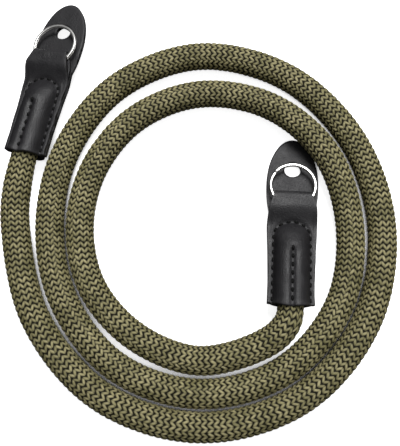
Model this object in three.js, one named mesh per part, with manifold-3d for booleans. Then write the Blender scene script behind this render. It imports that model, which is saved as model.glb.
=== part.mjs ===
// Coiled braided camera strap: a round rope of about one metre, laid in loose flat turns, with a
// stitched leather end and a split ring at each of its two ends.
// Millimetres, +Z up, the strap lying on the plane z = 0.

import * as THREE from 'three';
import { mergeVertices } from 'three/addons/utils/BufferGeometryUtils.js';
import Module from 'manifold-3d';

const wasm = await Module();
wasm.setup();

// Rope
const ROPE_DIAMETER = 10.8;
const ROPE_SIDES = 12;
const ROPE_STEPS = 80;
const SQUEEZED_DIAMETER = 9.8;
const SQUEEZE_RUN = 16;

// Leather
const FRONT_LEATHER = 1.3;
const BACK_LEATHER = 1.8;
const GAP = 0.3;
const ROPE_ROOM = 0.4;
const SLEEVE_HALF_WIDTH = 8.4;
const WAIST_HALF_WIDTH = 8.7;
const FOLD_HALF_WIDTH = 6.4;
const FOLD_AT = 42;
const WAIST_AT = FOLD_AT - 6.6;
const ARCH_AT = 30.5;
const ROPE_END_AT = 19;
const TAPER_FROM = ROPE_END_AT - 1;
const HOLLOW_TIP_AT = ARCH_AT - 3.5;
const FRONT_BULGE_TIP_AT = ARCH_AT + 0.6;
const BACK_BULGE_TIP_AT = ARCH_AT + 1.5;
const LEG_FROM = ARCH_AT - 2.5;
const LEG_END_AT = ARCH_AT + 0.5;
const MOUTH_FLARE = 0.6;
const FLARE_RUN = 6;
const TONGUE_HALF_WIDTH = 9.75;
const TONGUE_WIDEST_AT = 46;
const TONGUE_TIP_AT = 64.5;
const TONGUE_SWELL = 4;
const HOLE = { along: 51.9, halfWidth: 3.1, halfLength: 2.9 };
const CURVE_SEGMENTS = 14;
const LATHE_SEGMENTS = 24;
// Half widths of both layers, from the mouth up to the waist
const SLEEVE_SIDE = [
  { along: 0, half: SLEEVE_HALF_WIDTH },
  { along: 8, half: 8.3 },
  { along: 20, half: 8.7 },
  { along: ARCH_AT - 1, half: 9.2 },
  { along: WAIST_AT, half: WAIST_HALF_WIDTH },
];
// Half widths of the front strip from the waist to the fold
const FOLD_SIDE = [
  { along: FOLD_AT - 1.5, half: FOLD_HALF_WIDTH + 0.5 },
  { along: FOLD_AT + 0.5, half: FOLD_HALF_WIDTH },
];
// How the bulge over the rope's end narrows to its tip: share of the radius, share of the taper
const SHOULDER = [
  { share: 1, run: 0 },
  { share: 0.93, run: 0.28 },
  { share: 0.74, run: 0.54 },
  { share: 0.48, run: 0.76 },
  { share: 0.22, run: 0.93 },
  { share: 0, run: 1 },
];

// Split ring
const RING_OUTER_RADIUS = 8.8;
const WIRE_WIDTH = 1.2;
const WIRE_HEIGHT = 0.66;
const WIRE_CORNER = 0.14;
const COIL_PITCH = 0.78;
const RING_BEYOND_FOLD = 2.4;
const RING_SWEEP = 652;
const RING_STEPS = 66;
const STEP_OVER = 50;

// Heights in a leather end, from the plane where its two layers meet
const FRONT_UNDERSIDE = GAP / 2;
const FRONT_TOP = FRONT_UNDERSIDE + FRONT_LEATHER;
const BACK_TOP = -GAP / 2;
const BACK_UNDERSIDE = BACK_TOP - BACK_LEATHER;
const RING_HEIGHT = WIRE_HEIGHT + COIL_PITCH;
const POCKET_HEIGHT = RING_HEIGHT + 2 * GAP;
const POCKET_FLOOR = FRONT_TOP;
const POCKET_MIDDLE = POCKET_FLOOR + POCKET_HEIGHT / 2;
const FOLD_RADIUS = POCKET_HEIGHT / 2 + FRONT_LEATHER;
const RING_CENTRE_AT = FOLD_AT + RING_BEYOND_FOLD;
const POCKET_FROM = RING_CENTRE_AT - RING_OUTER_RADIUS - GAP;

// Where each leather end lies: the middle of its mouth, and how it is turned, in degrees
const ENDS = [
  { name: 'a', x: -65.8, y: 25.2, z: 8.3, heading: 77.3, pitch: -0.9, roll: -12, ringTurn: -62 },
  { name: 'b', x: 32.1, y: -31.4, z: 9, heading: 86.3, pitch: -6, roll: -3, ringTurn: -150 },
];

// The rope's turns: radii about the coil's centre, one row for each turn, a value every 30 degrees
const COIL_CENTRE = { x: 0, y: -2 };
const FIRST_ANGLE = 180;
const ANGLE_STEP = 30;
const TURN_RADII = [
  [68.4, 68.1, 70.0, 71.2, 71.1, 69.2, 67.4, 67.3, 68.5, 68.3, 64.1, 58.7],
  [55.8, 56.5, 58.8, 60.1, 60.0, 58.1, 55.4, 54.5, 54.1, 52.2, 48.9, 45.9],
  [44.6, 45.3, 46.5, 48.8, 48.5],
];
// The rope rises at these angles, where it meets a leather end or crosses the tongue of end b
const LIFTS = [
  { angle: 180, lift: 0.4 },
  { angle: 720, lift: 0.6 },
  { angle: 750, lift: 3.1 },
  { angle: 780, lift: 0.9 },
  { angle: 990, lift: 0.6 },
  { angle: 1020, lift: 2.8 },
];
// Moves the whole strap so that the origin lies under the middle of the two leather ends' box
const STRAP_PLACE = { x: 14.7, y: -28.0, z: 0.05 };
// Short leads between the coil and the mouths of the sleeves: x, y and height of the rope's middle
const LEAD_A = [{ x: -68.1, y: 11.5, z: 7.6 }];
const LEAD_B = [{ x: 30.7, y: -37.6, z: 9.4 }];

const LEATHER = { color: 0x35343a, roughness: 0.62, metalness: 0 };
const NICKEL = { color: 0xd9d9d6, roughness: 0.18, metalness: 1 };
const CORD = { color: 0x8a8260, roughness: 0.85, metalness: 0 };

function solidOf(geometry) {
  const bare = geometry.clone();
  bare.deleteAttribute('normal');
  bare.deleteAttribute('uv');
  const merged = mergeVertices(bare, 1e-4);
  return new wasm.Manifold(new wasm.Mesh({
    numProp: 3,
    vertProperties: new Float32Array(merged.attributes.position.array),
    triVerts: new Uint32Array(merged.index.array),
  }));
}

function geometryOf(solid) {
  const mesh = solid.getMesh();
  const geometry = new THREE.BufferGeometry();
  geometry.setAttribute('position', new THREE.BufferAttribute(mesh.vertProperties, 3));
  geometry.setIndex(new THREE.BufferAttribute(mesh.triVerts, 1));
  return geometry;
}

function namedMesh(name, geometry, finish) {
  const shaded = geometry.index ? geometry.toNonIndexed() : geometry;
  shaded.computeVertexNormals();
  const mesh = new THREE.Mesh(shaded, new THREE.MeshStandardMaterial(finish));
  mesh.name = name;
  return mesh;
}

// A plate of an outline drawn in x (across) and y (along), from one height to another
function plate(outline, bottom, top) {
  const geometry = new THREE.ExtrudeGeometry(outline, {
    depth: top - bottom,
    bevelEnabled: false,
    curveSegments: CURVE_SEGMENTS,
  });
  return solidOf(geometry.translate(0, 0, bottom));
}

// A bar of a profile drawn in y (along) and z (height), across the whole width
function bar(profile) {
  const width = 4 * TONGUE_HALF_WIDTH;
  const geometry = new THREE.ExtrudeGeometry(profile, {
    depth: width,
    bevelEnabled: false,
    curveSegments: CURVE_SEGMENTS,
  });
  const alongUpAcross = new THREE.Matrix4().makeBasis(
    new THREE.Vector3(0, 1, 0),
    new THREE.Vector3(0, 0, 1),
    new THREE.Vector3(1, 0, 0),
  );
  return solidOf(geometry.translate(0, 0, -width / 2).applyMatrix4(alongUpAcross));
}

function halfSpace(bottom, top) {
  const size = 4 * TONGUE_TIP_AT;
  const box = new THREE.BoxGeometry(size, size, top - bottom);
  return solidOf(box.translate(0, 0, (bottom + top) / 2));
}

// The round bulge that the rope's end makes: flared at the mouth, straight, then tapered to a point
function bulge(radius, start, tip) {
  const points = [
    new THREE.Vector2(0, start),
    new THREE.Vector2(radius + MOUTH_FLARE, start),
    new THREE.Vector2(radius + MOUTH_FLARE / 4, FLARE_RUN / 2),
    new THREE.Vector2(radius, FLARE_RUN),
  ];
  for (const { share, run } of SHOULDER) {
    points.push(new THREE.Vector2(radius * share, TAPER_FROM + run * (tip - TAPER_FROM)));
  }
  return solidOf(new THREE.LatheGeometry(points, LATHE_SEGMENTS));
}

function ropeHollow() {
  return bulge(SQUEEZED_DIAMETER / 2 + ROPE_ROOM, -1, HOLLOW_TIP_AT);
}

// Front strip seen from above: the sleeve, its waist, and the narrow fold round the ring
function frontOutline(limit) {
  const rows = [...SLEEVE_SIDE, ...FOLD_SIDE].filter((row) => row.along <= limit);
  const rightSide = rows.map((row) => new THREE.Vector2(row.half, row.along));
  const leftSide = rows.map((row) => new THREE.Vector2(-row.half, row.along)).reverse();
  return new THREE.Shape([...rightSide, ...leftSide]);
}

// Back layer seen from above: as wide as the sleeve, a waist, and the round tongue with its hole
function tongueOutline() {
  const outline = new THREE.Shape();
  const swellAt = WAIST_AT + TONGUE_SWELL;
  const tipLength = TONGUE_TIP_AT - TONGUE_WIDEST_AT;
  outline.moveTo(-SLEEVE_HALF_WIDTH, 0);
  for (const row of SLEEVE_SIDE) outline.lineTo(row.half, row.along);
  outline.quadraticCurveTo(TONGUE_HALF_WIDTH, swellAt, TONGUE_HALF_WIDTH, TONGUE_WIDEST_AT);
  outline.absellipse(0, TONGUE_WIDEST_AT, TONGUE_HALF_WIDTH, tipLength, 0, Math.PI);
  outline.quadraticCurveTo(-TONGUE_HALF_WIDTH, swellAt, -WAIST_HALF_WIDTH, WAIST_AT);
  for (const row of SLEEVE_SIDE.slice(1, -1).reverse()) outline.lineTo(-row.half, row.along);
  const hole = new THREE.Path();
  hole.absellipse(0, HOLE.along, HOLE.halfWidth, HOLE.halfLength, 0, 2 * Math.PI);
  outline.holes.push(hole);
  return outline;
}

// Side view of the strip where it turns back on itself round the ring
function foldProfile() {
  const foldCentre = FOLD_AT - FOLD_RADIUS;
  const profile = new THREE.Shape();
  profile.moveTo(LEG_FROM, FRONT_UNDERSIDE);
  profile.lineTo(foldCentre, FRONT_UNDERSIDE);
  profile.absarc(foldCentre, POCKET_MIDDLE, FOLD_RADIUS, -Math.PI / 2, Math.PI / 2);
  profile.lineTo(POCKET_FROM, POCKET_MIDDLE + FOLD_RADIUS);
  profile.lineTo(LEG_END_AT, FRONT_TOP + FRONT_LEATHER);
  profile.lineTo(LEG_FROM, FRONT_TOP);
  return profile;
}

function pocketProfile() {
  const inner = POCKET_HEIGHT / 2;
  const profile = new THREE.Shape();
  profile.moveTo(POCKET_FROM, POCKET_MIDDLE - inner);
  profile.lineTo(FOLD_AT - FOLD_RADIUS, POCKET_MIDDLE - inner);
  profile.absarc(FOLD_AT - FOLD_RADIUS, POCKET_MIDDLE, inner, -Math.PI / 2, Math.PI / 2);
  profile.lineTo(POCKET_FROM, POCKET_MIDDLE + inner);
  return profile;
}

// The room that the ring sweeps as it turns in the fold
function ringRoom() {
  const outline = new THREE.Shape();
  outline.absarc(0, RING_CENTRE_AT, RING_OUTER_RADIUS + GAP, 0, 2 * Math.PI);
  const inside = new THREE.Path();
  inside.absarc(0, RING_CENTRE_AT, RING_OUTER_RADIUS - WIRE_WIDTH - GAP, 0, 2 * Math.PI);
  outline.holes.push(inside);
  return plate(outline, POCKET_FLOOR, POCKET_FLOOR + POCKET_HEIGHT);
}

function sleeve(name) {
  const aboveUnderside = halfSpace(FRONT_UNDERSIDE, 2 * ROPE_DIAMETER);
  const flange = plate(frontOutline(ARCH_AT), FRONT_UNDERSIDE, FRONT_TOP);
  const wholeStrip = plate(frontOutline(FOLD_AT + 1), 0, ROPE_DIAMETER);
  const fold = bar(foldProfile()).intersect(wholeStrip);
  const domeRadius = SQUEEZED_DIAMETER / 2 + ROPE_ROOM + FRONT_LEATHER;
  const dome = bulge(domeRadius, 0, FRONT_BULGE_TIP_AT);
  const solid = flange
    .add(fold)
    .add(dome.intersect(aboveUnderside))
    .subtract(ropeHollow())
    .subtract(bar(pocketProfile()))
    .subtract(ringRoom());
  return namedMesh(name, geometryOf(solid), LEATHER);
}

function tongue(name) {
  const belowTop = halfSpace(-2 * ROPE_DIAMETER, BACK_TOP);
  const flat = plate(tongueOutline(), BACK_UNDERSIDE, BACK_TOP);
  const backRadius = SQUEEZED_DIAMETER / 2 + ROPE_ROOM + BACK_LEATHER;
  const back = bulge(backRadius, 0, BACK_BULGE_TIP_AT);
  const solid = flat.add(back.intersect(belowTop)).subtract(ropeHollow());
  return namedMesh(name, geometryOf(solid), LEATHER);
}

// The wire of a split ring: nearly two flat turns, with one step from the lower to the upper
class SplitRingPath extends THREE.Curve {
  getPoint(share, target = new THREE.Vector3()) {
    const turned = share * RING_SWEEP;
    const stepFrom = (RING_SWEEP - STEP_OVER) / 2;
    const rise = THREE.MathUtils.smoothstep(turned, stepFrom, stepFrom + STEP_OVER);
    const angle = THREE.MathUtils.degToRad(turned);
    const radius = RING_OUTER_RADIUS - WIRE_WIDTH / 2;
    return target.set(
      radius * Math.cos(angle),
      radius * Math.sin(angle),
      (rise - 0.5) * COIL_PITCH,
    );
  }
}

function splitRing(name, turn) {
  const halfHeight = WIRE_HEIGHT / 2;
  const halfWidth = WIRE_WIDTH / 2;
  const cornerHeight = halfHeight - WIRE_CORNER;
  const cornerWidth = halfWidth - WIRE_CORNER;
  const section = new THREE.Shape([
    new THREE.Vector2(halfHeight, cornerWidth),
    new THREE.Vector2(cornerHeight, halfWidth),
    new THREE.Vector2(-cornerHeight, halfWidth),
    new THREE.Vector2(-halfHeight, cornerWidth),
    new THREE.Vector2(-halfHeight, -cornerWidth),
    new THREE.Vector2(-cornerHeight, -halfWidth),
    new THREE.Vector2(cornerHeight, -halfWidth),
    new THREE.Vector2(halfHeight, -cornerWidth),
  ]);
  const geometry = new THREE.ExtrudeGeometry(section, {
    steps: RING_STEPS,
    extrudePath: new SplitRingPath(),
  });
  const mesh = namedMesh(name, geometry, NICKEL);
  mesh.position.set(0, RING_CENTRE_AT, POCKET_MIDDLE);
  mesh.rotation.z = THREE.MathUtils.degToRad(turn);
  return mesh;
}

function leatherEnd(place) {
  const end = new THREE.Group();
  end.position.set(place.x, place.y, place.z);
  end.rotation.set(
    THREE.MathUtils.degToRad(place.pitch),
    THREE.MathUtils.degToRad(place.roll),
    THREE.MathUtils.degToRad(place.heading - 90),
    'ZXY',
  );
  end.add(sleeve(`sleeve_${place.name}`));
  end.add(tongue(`tongue_${place.name}`));
  end.add(splitRing(`ring_${place.name}`, place.ringTurn));
  end.updateMatrixWorld(true);
  return end;
}

function liftAt(angle) {
  const entry = LIFTS.find((row) => row.angle === angle);
  return entry ? entry.lift : 0;
}

function coilPoints() {
  return TURN_RADII.flat().map((radius, index) => {
    const angle = FIRST_ANGLE + index * ANGLE_STEP;
    const radians = THREE.MathUtils.degToRad(angle);
    return new THREE.Vector3(
      COIL_CENTRE.x + radius * Math.cos(radians),
      COIL_CENTRE.y + radius * Math.sin(radians),
      ROPE_DIAMETER / 2 + liftAt(angle),
    );
  });
}

function leadPoints(rows) {
  return rows.map((row) => new THREE.Vector3(row.x, row.y, row.z));
}

// The stretch of rope inside a sleeve, from its end to the mouth
function hiddenPoints(end) {
  return [ROPE_END_AT, ROPE_END_AT / 2, 0].map((along) => (
    end.localToWorld(new THREE.Vector3(0, along, 0))
  ));
}

function ropeRoute(endA, endB) {
  return new THREE.CatmullRomCurve3([
    ...hiddenPoints(endA),
    ...leadPoints(LEAD_A),
    ...coilPoints(),
    ...leadPoints(LEAD_B),
    ...hiddenPoints(endB).reverse(),
  ], false, 'centripetal');
}

// Draws the rope in to its squeezed diameter inside the sleeves
function squeezeEnds(geometry, centres) {
  const positions = geometry.attributes.position;
  const narrow = SQUEEZED_DIAMETER / ROPE_DIAMETER;
  const stepLength = centres[0].distanceTo(centres[1]);
  const point = new THREE.Vector3();
  for (let i = 0; i < positions.count; i += 1) {
    point.fromBufferAttribute(positions, i);
    let nearest = 0;
    for (let k = 1; k < centres.length; k += 1) {
      if (point.distanceTo(centres[k]) < point.distanceTo(centres[nearest])) nearest = k;
    }
    const fromEnd = Math.min(nearest, centres.length - 1 - nearest) * stepLength;
    const opened = THREE.MathUtils.smoothstep(fromEnd, ROPE_END_AT, ROPE_END_AT + SQUEEZE_RUN);
    const scale = narrow + (1 - narrow) * opened;
    point.sub(centres[nearest]).multiplyScalar(scale).add(centres[nearest]);
    positions.setXYZ(i, point.x, point.y, point.z);
  }
}

function rope(route) {
  const section = new THREE.Shape();
  section.absarc(0, 0, ROPE_DIAMETER / 2, 0, 2 * Math.PI);
  const geometry = new THREE.ExtrudeGeometry(section, {
    steps: ROPE_STEPS,
    curveSegments: ROPE_SIDES / 2,
    extrudePath: route,
  });
  squeezeEnds(geometry, route.getSpacedPoints(ROPE_STEPS));
  return namedMesh('rope', geometry, CORD);
}

const strap = new THREE.Group();
const [endA, endB] = ENDS.map(leatherEnd);
strap.add(endA, endB, rope(ropeRoute(endA, endB)));
strap.position.set(STRAP_PLACE.x, STRAP_PLACE.y, STRAP_PLACE.z);
export default strap;
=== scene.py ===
"""Coiled braided camera strap: the looks that are built round the packed CAD part.

Everything is in metres in the part's own frame. Tables in millimetres are multiplied by MM.
"""

import math

import bpy
import numpy as np
from mathutils import Euler, Matrix, Vector, noise


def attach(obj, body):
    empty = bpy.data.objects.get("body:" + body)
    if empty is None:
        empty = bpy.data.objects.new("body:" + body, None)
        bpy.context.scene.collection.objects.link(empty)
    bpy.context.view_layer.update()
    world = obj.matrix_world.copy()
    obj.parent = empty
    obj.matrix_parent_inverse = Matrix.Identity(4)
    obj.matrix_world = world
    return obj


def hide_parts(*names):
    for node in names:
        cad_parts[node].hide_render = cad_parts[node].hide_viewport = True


bl_info = {
    "name": "Braided Camera Strap",
    "version": (1, 0, 0),
    "blender": (4, 5, 0),
    "location": "View3D > Sidebar > Strap",
    "description": "Builds a coiled round braided camera strap with stitched leather ends and split rings",
    "category": "Add Mesh",
}

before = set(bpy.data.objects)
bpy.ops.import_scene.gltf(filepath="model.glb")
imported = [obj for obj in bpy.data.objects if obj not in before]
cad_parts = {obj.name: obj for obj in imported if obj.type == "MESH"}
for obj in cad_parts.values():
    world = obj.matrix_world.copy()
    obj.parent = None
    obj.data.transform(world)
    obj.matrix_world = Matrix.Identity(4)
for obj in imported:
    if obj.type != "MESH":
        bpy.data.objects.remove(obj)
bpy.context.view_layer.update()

MM = 0.001

# Where the strap lies, and the route of its rope, as in the CAD source (millimetres and degrees)
STRAP_PLACE = Vector((14.7, -28.0, 0.05))
ENDS = {
    "a": {"place": (-65.8, 25.2, 8.3), "heading": 77.3, "pitch": -0.9, "roll": -12.0, "ring_turn": -62.0},
    "b": {"place": (32.1, -31.4, 9.0), "heading": 86.3, "pitch": -6.0, "roll": -3.0, "ring_turn": -150.0},
}
COIL_CENTRE = (0.0, -2.0)
FIRST_ANGLE = 180
ANGLE_STEP = 30
TURN_RADII = (
    (68.4, 68.1, 70.0, 71.2, 71.1, 69.2, 67.4, 67.3, 68.5, 68.3, 64.1, 58.7),
    (55.8, 56.5, 58.8, 60.1, 60.0, 58.1, 55.4, 54.5, 54.1, 52.2, 48.9, 45.9),
    (44.6, 45.3, 46.5, 48.8, 48.5),
)
LIFTS = {180: 0.4, 720: 0.6, 750: 3.1, 780: 0.9, 990: 0.6, 1020: 2.8}
LEADS = {"a": (-68.1, 11.5, 7.6), "b": (30.7, -37.6, 9.4)}
ROPE_END_AT = 19.0
ROPE_HEIGHT = 5.4
ROUTE_STEPS = 12
YARNS_START_AT = 0.8 * ROPE_END_AT

# Leather ends, each in its own frame: x across, y from the mouth to the tongue's tip, z up
FOLD_AT = 42.0
WAIST_AT = 35.4
ARCH_AT = 30.5
SLEEVE_SIDE = ((0.0, 8.4), (8.0, 8.3), (20.0, 8.7), (29.5, 9.2), (WAIST_AT, 8.7))
FOLD_SIDE = ((40.5, 6.9), (42.5, 6.4))
TONGUE_HALF_WIDTH = 9.75
TONGUE_SWELL_AT = 39.4
TONGUE_WIDEST_AT = 46.0
TONGUE_TIP_AT = 64.5
HOLE = {"along": 51.9, "half_width": 3.1, "half_length": 2.9}
TAPER_FROM = 18.0
SHOULDER = ((0.0, 1.0), (0.28, 0.93), (0.54, 0.74), (0.76, 0.48), (0.93, 0.22), (1.0, 0.0))
FRONT_TOP = 1.45
BACK_UNDERSIDE = 1.95
POCKET_MIDDLE = 2.47
FOLD_RADIUS = 2.32
RING_CENTRE_AT = 44.4
FRONT_BULGE_TIP_AT = ARCH_AT + 0.6
BACK_BULGE_TIP_AT = ARCH_AT + 1.5
FLARE_RUN = 6.0
LEG_RISE = (28.4, 36.4)
LEG_END_AT = 31.5
CREASE_BLEND = 0.5
# Seams: how far out and how long the side seams are, how high the arch between them is, and the middle one
SIDE_SEAM_AT = 6.7
SEAM_START = 1.3
SIDE_SEAM_TOP = 24.6
ARCH_RISE = 5.7
MIDDLE_SEAM_TOP = 19.2
SEAM_SPACING = 0.5
# Outside the seams the sewn flanges are pressed in: from how far out, how deep and up to which length
FLANGE_EDGE = (6.9, 8.4)
PRESSED = {"front": 0.25, "back": 0.4}
PRESSED_UNTIL = {"front": 34.0, "back": 36.0}
# How deep and how wide the side seams pull the leather in
SIDE_PULL = {"front": (0.42, 0.75), "back": (0.3, 0.7)}
# The middle seam's pull on the front: shares of its depth, each with a width
MIDDLE_PULL = ((0.55, 0.95), (0.45, 2.6))
BACK_MIDDLE_PULL = (0.5, 0.9)
# The front strip's mouth reaches out over the rope, and its edge is uneven
MOUTH_LIP = 1.4
LIP_RUN = 8
LIP_HALF_WIDTH = 7.4
MOUTH_WAVE = 0.35
FRONT_WAVE_SIZE = 4.5
WAVE_SIZE = 5.0
# Where the leather is rubbed lighter: near its sides (shares of the half width), at the fold and at the
# mouth. Its cut edges take this lighter colour in full, partly from rubbing and partly as painted highlight
FRONT_WORN_FROM = 0.86
BACK_WORN_FROM = 0.9
FOLD_WORN_RUN = 1.6
MOUTH_WORN_RUN = 0.9
# How finely the leather is divided
GRID_STEP = 0.5
FLAT_FROM = 34
TONGUE_GRID_END = 42.0
# The rings of points round the tongue's hole, from the border in, and how rubbed each is; the last ring
# also gives the hole's cut edge its lighter colour, partly as painted highlight
HOLE_RINGS = ((0.1, 0.5), (0.22, 0.0), (0.4, 0.0), (0.6, 0.0), (0.78, 0.0), (0.9, 0.0), (1.0, 0.7))
# Where the front strip's rows have their points, as shares of its half width
WIDTH_SHARES = (
    0, 0.045, 0.09, 0.14, 0.2, 0.27, 0.34, 0.41, 0.48, 0.54, 0.6, 0.65, 0.69, 0.725, 0.755, 0.785, 0.815,
    0.85, 0.89, 0.93, 0.97, 1,
)

# Split rings: steps along the wire, the rounding of its corners, and how much its cut ends are narrowed
RING_STEPS = 240
WIRE_CORNER = 0.3
CORNER_POINTS = 5
CUT_END_SHRINK = 0.25

# Stage, in metres: how far the floor lies under the strap, and each lamp's power setting, side and place
FLOOR_GAP = 0.0001
LAMPS = {
    "key_light": ("key_power", 0.45, (0.12, 0.42, 0.85)),
    "fill_light": ("fill_power", 0.5, (0.1, -0.25, 0.8)),
}


# Settings


def number(name, description, default, unit="LENGTH", **more):
    return bpy.props.FloatProperty(name=name, description=description, default=default, unit=unit, **more)


def fraction(name, description, default):
    return bpy.props.FloatProperty(name=name, description=description, default=default, subtype="FACTOR")


def colour(name, description, default):
    return bpy.props.FloatVectorProperty(
        name=name, description=description, default=default, size=3, subtype="COLOR"
    )


class StrapRopeSettings(bpy.types.PropertyGroup):
    """Sizes and colours of the braided rope"""

    diameter: number("Diameter", "Outer diameter of the rope", 0.0108, min=0.004)
    squeezed_diameter: number("Squeezed diameter", "Diameter inside the sleeves", 0.0098)
    squeeze_run: number("Squeeze run", "Length over which the rope opens again", 0.016)
    core_share: fraction("Core share", "Core diameter as a share of the rope's", 0.92)
    columns: bpy.props.IntProperty(
        name="Columns", description="Pairs of yarn columns round the rope", default=12, min=4, max=24
    )
    row_pitch: number("Row pitch", "Length of one row of the braid along the rope", 0.00216)
    zigzag: fraction("Zigzag", "How far a yarn climbs, as a share of the row pitch", 0.88)
    yarn_width: number("Yarn width", "Width of one yarn where it shows", 0.00116)
    yarn_length: number("Yarn length", "Length of one yarn between two dips", 0.00265)
    yarn_rise: number("Yarn rise", "Height of a yarn over the core", 0.0003)
    twist: number("Twist", "Turn of the braid for each metre of rope", 2.5, unit="ROTATION")
    seed: bpy.props.IntProperty(name="Seed", description="Seed of the yarns' small differences", default=7)
    olive: colour("Olive", "Darker yarn colour", (0.15, 0.138, 0.052))
    khaki: colour("Khaki", "Lighter yarn colour", (0.41, 0.367, 0.19))
    # Near black: painted shade deep between the yarns, which the core takes, and the yarns at their sides
    # and dips.
    core_colour: colour("Core", "Colour deep between the yarns", (0.006, 0.0055, 0.0028))


class StrapLeatherSettings(bpy.types.PropertyGroup):
    """Sizes and colours of the leather ends"""

    front_thickness: number("Front thickness", "Thickness of the front strip", 0.0013)
    back_thickness: number("Back thickness", "Thickness of the back layer", 0.0016)
    front_bulge: number("Front bulge", "Radius of the leather over the rope", 0.0066)
    back_bulge: number("Back bulge", "Radius of the leather under the rope", 0.0071)
    mouth_flare: number("Mouth flare", "How far the mouth opens", 0.0003)
    edge_round: number("Edge rounding", "Rounding of the cut edges", 0.00028)
    seam_depth: number("Seam depth", "How deep the middle seam pulls the leather in", 0.0013)
    waves: number("Waves", "Height of the leather's small unevenness", 0.00016)
    grain_size: number("Grain size", "Size of the leather's pebbles", 0.00042)
    colour: colour("Leather", "Colour of the leather", (0.0115, 0.011, 0.0125))
    # Lighter colour of rubbed leather; on the cut edges it is partly painted highlight.
    worn_colour: colour("Worn", "Colour where the leather is rubbed", (0.04, 0.039, 0.041))


class StrapSeamSettings(bpy.types.PropertyGroup):
    """Sizes and colour of the stitches"""

    pitch: number("Pitch", "Distance from stitch to stitch", 0.0028)
    stitch_length: number("Stitch length", "Visible length of one stitch", 0.00215)
    thread: number("Thread", "Thickness of the thread", 0.00112)
    colour: colour("Thread colour", "Colour of the thread", (0.0022, 0.0022, 0.0022))


class StrapRingSettings(bpy.types.PropertyGroup):
    """Sizes and colour of the split rings"""

    outer_radius: number("Outer radius", "Outer radius of a ring", 0.0088)
    wire_width: number("Wire width", "Width of the flat wire", 0.00098)
    wire_height: number("Wire height", "Height of the flat wire", 0.00066)
    coil_pitch: number("Coil pitch", "Height from one turn to the next", 0.00078)
    sweep: number("Sweep", "How far the wire goes round, end to end", math.radians(652), unit="ROTATION")
    step_over: number("Step over", "Turn in which the wire climbs", math.radians(50), unit="ROTATION")
    colour: colour("Nickel", "Colour of the plating", (0.86, 0.85, 0.83))


class StrapStageSettings(bpy.types.PropertyGroup):
    """Camera, floor and light"""

    camera_distance: number("Camera distance", "From the camera to the floor point it looks at", 0.2135)
    camera_elevation: number("Camera elevation", "Angle above the floor", math.radians(78), unit="ROTATION")
    lens: number("Lens", "Focal length on a 36 mm sensor", 45.2, unit="CAMERA")
    floor_size: number("Floor size", "Side of the floor", 6.0)
    floor_colour: colour("Floor", "Colour of the floor", (0.93, 0.93, 0.93))
    floor_glow: number("Floor glow", "Light that comes up through the table", 0.85, unit="NONE", min=0.0)
    thrown_back: fraction("Thrown back", "Share of the light that the floor throws on the strap", 0.02)
    sky: number("Sky", "Strength of the even light", 0.1, unit="NONE", min=0.0)
    key_power: number("Key light", "Power of the large light behind the strap", 11.0, unit="POWER")
    fill_power: number("Fill light", "Power of the light beside the camera", 1.0, unit="POWER")


# Building node trees


class TreeBuilder:
    """Short calls for building a node tree. Those for a formula return the new node's open output."""

    def __init__(self, tree):
        self.tree = tree

    def put(self, socket, value):
        if isinstance(value, bpy.types.NodeSocket):
            self.tree.links.new(value, socket)
        else:
            socket.default_value = value

    def node(self, kind, settings=None, **values):
        made = self.tree.nodes.new(kind)
        for name, value in (settings or {}).items():
            setattr(made, name, value)
        return self.fill(made, **values)

    def fill(self, node, **values):
        """Sets or links a node's inputs by their names, with an underscore for each blank."""
        for name, value in values.items():
            self.put(self.open_input(node, name.replace("_", " ")), value)
        return node

    @staticmethod
    def open_input(node, name):
        wanted = name.lower()
        return next(s for s in node.inputs if s.enabled and s.name.lower() == wanted)

    @staticmethod
    def open_output(node):
        return next(s for s in node.outputs if s.enabled)

    def filled(self, kind, values, **settings):
        made = self.tree.nodes.new(kind)
        for name, value in settings.items():
            setattr(made, name, value)
        for socket, value in zip(made.inputs, values):
            self.put(socket, value)
        return made

    def maths(self, operation, *values):
        return self.filled("ShaderNodeMath", values, operation=operation).outputs[0]

    def times(self, *values):
        return self.maths("MULTIPLY", *values)

    def times_plus(self, *values):
        return self.maths("MULTIPLY_ADD", *values)

    def clamped(self, value):
        return self.maths("MINIMUM", self.maths("MAXIMUM", value, 0.0), 1.0)

    def vector(self, operation, *values):
        return self.open_output(self.filled("ShaderNodeVectorMath", values, operation=operation))

    def scaled(self, vector, scale):
        made = self.filled("ShaderNodeVectorMath", (vector,), operation="SCALE")
        self.put(made.inputs["Scale"], scale)
        return made.outputs[0]

    def joined(self, *values):
        return self.filled("ShaderNodeCombineXYZ", values).outputs[0]

    def parts(self, vector):
        return self.filled("ShaderNodeSeparateXYZ", (vector,)).outputs

    def random(self, low, high, **more):
        kind = "FLOAT_VECTOR" if isinstance(low, tuple) else "FLOAT"
        made = self.node("FunctionNodeRandomValue", {"data_type": kind}, Min=low, Max=high, **more)
        return self.open_output(made)


def new_group(name, kind, inputs, outputs):
    """A node group with named sockets: returns it, its builder, its input sockets and its output node."""
    group = bpy.data.node_groups.new(name, kind)
    for label, socket, default in inputs:
        made = group.interface.new_socket(name=label, in_out="INPUT", socket_type="NodeSocket" + socket)
        if default is not None:
            made.default_value = default
    for label, socket in outputs:
        group.interface.new_socket(name=label, in_out="OUTPUT", socket_type="NodeSocket" + socket)
    build = TreeBuilder(group)
    given = group.nodes.new("NodeGroupInput").outputs
    result = group.nodes.new("NodeGroupOutput")
    return group, build, given, result


# Shader node groups


def shared_group(name, make):
    return bpy.data.node_groups.get(name) or make(name)


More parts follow.
